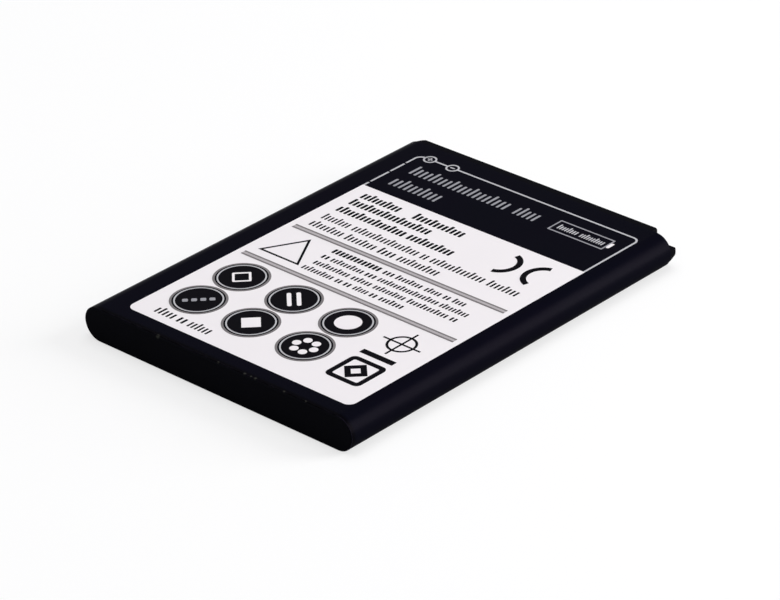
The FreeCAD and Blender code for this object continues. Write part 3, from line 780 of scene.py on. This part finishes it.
# Six round badges, each a grey rim, a black disc with a pale ring, and a plain figure in the middle: an open
# square, two bricks, a disc, then a row of cubes, a diamond and a ring of dots
badges = {
    "columns": (-14.90, -3.72, 7.58),
    "rows": (-16.20, -25.60),
    "rim": 4.58,
    "disc": 4.20,
    "ringOuter": 3.90,
    "ringInner": 3.66,
    "turn": 45,
    "squareSides": (3.0, 2.2),
    "squareCorners": (0.2, 0.1),
    "brick": (0.7, 4.2),
    "brickPlaces": (-0.75, 0.75),
    "brickCorner": 0.3,
    "discRadius": 2.15,
    "diamondRadius": 2.1,
    "dotCount": 6,
    "dotRadius": 0.72,
    "dotCircle": 1.75,
    "cubeSide": 0.9,
    "cubePlaces": (-2.1, -0.7, 0.7, 2.1),
    "cubeCorner": 0.2,
}


def printBadges(look):
    middles = [(x, y) for y in look["rows"] for x in look["columns"]]
    addPrint("badge_rims", "grey", [rings(circles(middles, look["rim"]), circles(middles, look["disc"]), 2)])
    addPrint("badge_discs", "black", [plates(circles(middles, look["disc"]), 2)])
    pale = rings(circles(middles, look["ringOuter"]), circles(middles, look["ringInner"]), 3)
    addPrint("badge_rings", "silver", [pale])

    first, second, third, fourth, fifth, sixth = (np.array(middle) for middle in middles)
    turn = look["turn"]
    diagonal = np.array([math.cos(math.radians(turn)), math.sin(math.radians(turn))])
    square, squareInside = (
        roundedOutlines(first, (side, side), corner, turn, 3)
        for side, corner in zip(look["squareSides"], look["squareCorners"])
    )
    brickMiddles = [second + diagonal * place for place in look["brickPlaces"]]
    bricks = roundedOutlines(brickMiddles, look["brick"], look["brickCorner"], turn, 4)
    angle = np.arange(look["dotCount"]) * 2 * math.pi / look["dotCount"]
    dotMiddles = sixth + look["dotCircle"] * np.stack([np.cos(angle), np.sin(angle)], axis=-1)
    bright = [
        rings(square, squareInside, 3),
        plates(bricks, 3),
        plates(circles(third, look["discRadius"]), 3),
        plates(figure(fifth, look["diamondRadius"], 4), 3),
        plates(circles(dotMiddles, look["dotRadius"], 6), 3),
    ]
    addPrint("badge_figures", "white", bright)
    cubeMiddles = [fourth + diagonal * place for place in look["cubePlaces"]]
    cubes = roundedOutlines(cubeMiddles, (look["cubeSide"], look["cubeSide"]), look["cubeCorner"], turn, 3)
    addPrint("badge_squares", "pale", [plates(cubes, 3)])


# Marks down the right of the panel: a ring with crossing lines, a bar, and a square with a diamond in it
sideMarks = {
    "ringMiddle": (18.30, -15.95),
    "ringRadius": 2.45,
    "ringStroke": 0.42,
    "lineLength": 7.4,
    "lineStroke": 0.36,
    "bar": (14.90, 21.45, -21.65, -20.50),
    "squareMiddle": (18.45, -26.20),
    "squareSide": 6.9,
    "squareCorner": 1.0,
    "squareStroke": 0.92,
    "squareInnerCorner": 1 / 3,
    "diamondRadius": 2.376,
    "diamondStroke": 0.95,
}


def printSideMarks(look):
    ring = look["ringMiddle"]
    outer = circles(ring, look["ringRadius"])
    inner = circles(ring, look["ringRadius"] - look["ringStroke"])
    x, y = ring
    long, thin = look["lineLength"] / 2, look["lineStroke"] / 2
    level = bars([(x - long, x + long, y - thin, y + thin)], 2)
    upright = bars([(x - thin, x + thin, y - long, y + long)], 2)
    addPrint("ring_mark", "black", [rings(outer, inner, 2), level, upright])
    addPrint("solid_bar", "black", [bars([look["bar"]], 2)])
    middle = look["squareMiddle"]
    side, stroke = look["squareSide"], look["squareStroke"]
    outer = roundedOutlines(middle, (side, side), look["squareCorner"], steps=6)
    inside = side - 2 * stroke
    inner = roundedOutlines(middle, (inside, inside), look["squareInnerCorner"], steps=6)
    diamond = figure(middle, look["diamondRadius"], 4)
    core = inset(diamond, look["diamondStroke"])
    addPrint("square_mark", "black", [rings(outer, inner, 2), rings(diamond, core, 2)])


printPanel(label)
printFrame(label, polarity)
printWords("band_words", bandWords, 1)
printCellMark(cellMark)
printWords("panel_words", panelWords, 2)
printRules(rules)
printTriangle(triangle)
printArchMark(archMark)
printBadges(badges)
printSideMarks(sideMarks)
print("print laid on the film")


# Camera at the photograph's place: it looks at a point near the pack's middle and is rolled a little
camera = {
    "aim": (3.97, -3.03, 2.95),
    "distance": 579.85,
    "azimuth": 43.32,
    "elevation": 28.83,
    "roll": 1.746,
    "lens": 173.80,
    "sensor": 36.0,
}


def makeCamera(look):
    data = bpy.data.cameras.new("photoCamera")
    data.lens = look["lens"]
    data.sensor_width = look["sensor"]
    azimuth, elevation, roll = (math.radians(look[name]) for name in ("azimuth", "elevation", "roll"))
    level = math.cos(elevation)
    back = Vector((math.sin(azimuth) * level, -math.cos(azimuth) * level, math.sin(elevation)))
    side = Vector((0, 0, 1)).cross(back).normalized()
    over = back.cross(side)
    right = side * math.cos(roll) - over * math.sin(roll)
    up = over * math.cos(roll) + side * math.sin(roll)
    turn = Matrix((right, up, back)).transposed().to_4x4()
    place = (Vector(look["aim"]) + back * look["distance"]) * mm
    made = bpy.data.objects.new("photoCamera", data)
    made.matrix_world = Matrix.Translation(place) @ turn
    bpy.context.scene.collection.objects.link(made)
    bpy.context.scene.camera = made


makeCamera(camera)


# Studio: a pale floor, a world that is white at the horizon and dim above, and soft lamps. Metres and watts,
# but the floor's drop, its grain and the reach of its shade are in millimetres.
studio = {
    "floorTone": (0.34, 0.34, 0.34),
    "floorOther": (0.3366, 0.3366, 0.3366),
    "floorGrain": 60.0,
    "floorRoughness": 0.9,
    "floorGlow": 0.66,
    "floorRadius": 4.0,
    "floorCorners": 96,
    "floorDrop": 0.02,
    "shadeReach": 10.0,
    "horizon": (0.92, 0.92, 0.93),
    "sky": (0.17, 0.17, 0.18),
    "zenith": (0.75, 0.75, 0.77),
    "skyHeights": (0.0, 0.10, 0.28, 0.72, 0.95),
    "overhead": {"place": (-0.05, 0.05, 0.95), "width": 0.75, "height": 0.75, "power": 3.35},
    "side": {"place": (0.77, 0.75, 0.43), "width": 0.52, "height": 0.90, "power": 12.9},
}


# A disc of the studio's floor: one face whose corners lie evenly round a circle, a hair under the pack. It
# glows white to the camera. A painted shadow dims its reflection close beside the pack, where the pack keeps
# the light off.
def makeFloor(look):
    count = look["floorCorners"]
    angle = np.arange(count) * 2 * math.pi / count
    points = np.stack([np.cos(angle), np.sin(angle), np.zeros(count)], axis=-1) * look["floorRadius"]
    points[:, 2] = -look["floorDrop"] * mm
    mesh = bpy.data.meshes.new("studioFloor")
    mesh.from_pydata(points.tolist(), [], [list(range(count))])
    paint = newPaint("floorPaint")
    place = paint.place()
    tone = paint.mix(paint.noise(place, look["floorGrain"]), look["floorTone"], look["floorOther"])
    matt = paint.body(tone, look["floorRoughness"], Specular_IOR_Level=0.0)
    rays = ("Is Camera Ray", "Is Glossy Ray", "Is Transmission Ray")
    seen, glossy, passed = (paint.node("LightPath", output=ray) for ray in rays)
    beyond = [
        paint.node("Math", {"operation": "ABSOLUTE"}, {0: paint.axis(place, letter)}) - reach
        for letter, reach in zip("XY", cadBox[1])
    ]
    away = paint.node("Math", {"operation": "MAXIMUM"}, {0: beyond[0], 1: beyond[1]})
    # Painted shadow in the floor's reflection: the glow seen by glossy rays dims close beside the pack
    unshaded = paint.step(away, 0.0, look["shadeReach"] * mm)
    strength = (seen + glossy * unshaded + passed) * look["floorGlow"]
    glow = paint.node("Emission", None, {"Color": (1, 1, 1, 1), "Strength": strength})
    mesh.materials.append(paint.finish(paint.node("AddShader", None, {0: matt, 1: glow})))
    floor = bpy.data.objects.new("studioFloor", mesh)
    bpy.context.scene.collection.objects.link(floor)


# The world's tone is a ramp on how steeply a ray points upwards, from the horizon to straight up
def makeWorld(look):
    world = bpy.data.worlds.new("studioWorld")
    bpy.context.scene.world = world
    paint = Paint(world)
    direction = paint.node("TexCoord", output="Generated")
    height = paint.axis(direction, "Z")
    tones = [look[name] for name in ("horizon", "horizon", "sky", "sky", "zenith")]
    stops = list(zip(look["skyHeights"], tones))
    tone = paint.node("ValToRGB", {"stops": stops}, {0: height})
    paint.finish(paint.node("Background", None, {"Color": tone, "Strength": 1.0}))


# A soft lamp with four sides, turned so that it faces the pack
def makeLamp(name, look):
    data = bpy.data.lights.new(name, "AREA")
    data.shape = "RECTANGLE"
    data.size = look["width"]
    data.size_y = look["height"]
    data.energy = look["power"]
    lamp = bpy.data.objects.new(name, data)
    place = Vector(look["place"])
    lamp.matrix_world = Matrix.Translation(place) @ place.to_track_quat("Z", "Y").to_matrix().to_4x4()
    bpy.context.scene.collection.objects.link(lamp)


makeFloor(studio)
makeWorld(studio)
makeLamp("overheadLamp", studio["overhead"])
makeLamp("sideLamp", studio["side"])
bpy.context.scene.view_settings.view_transform = "Standard"
print("camera, floor and lamps set")
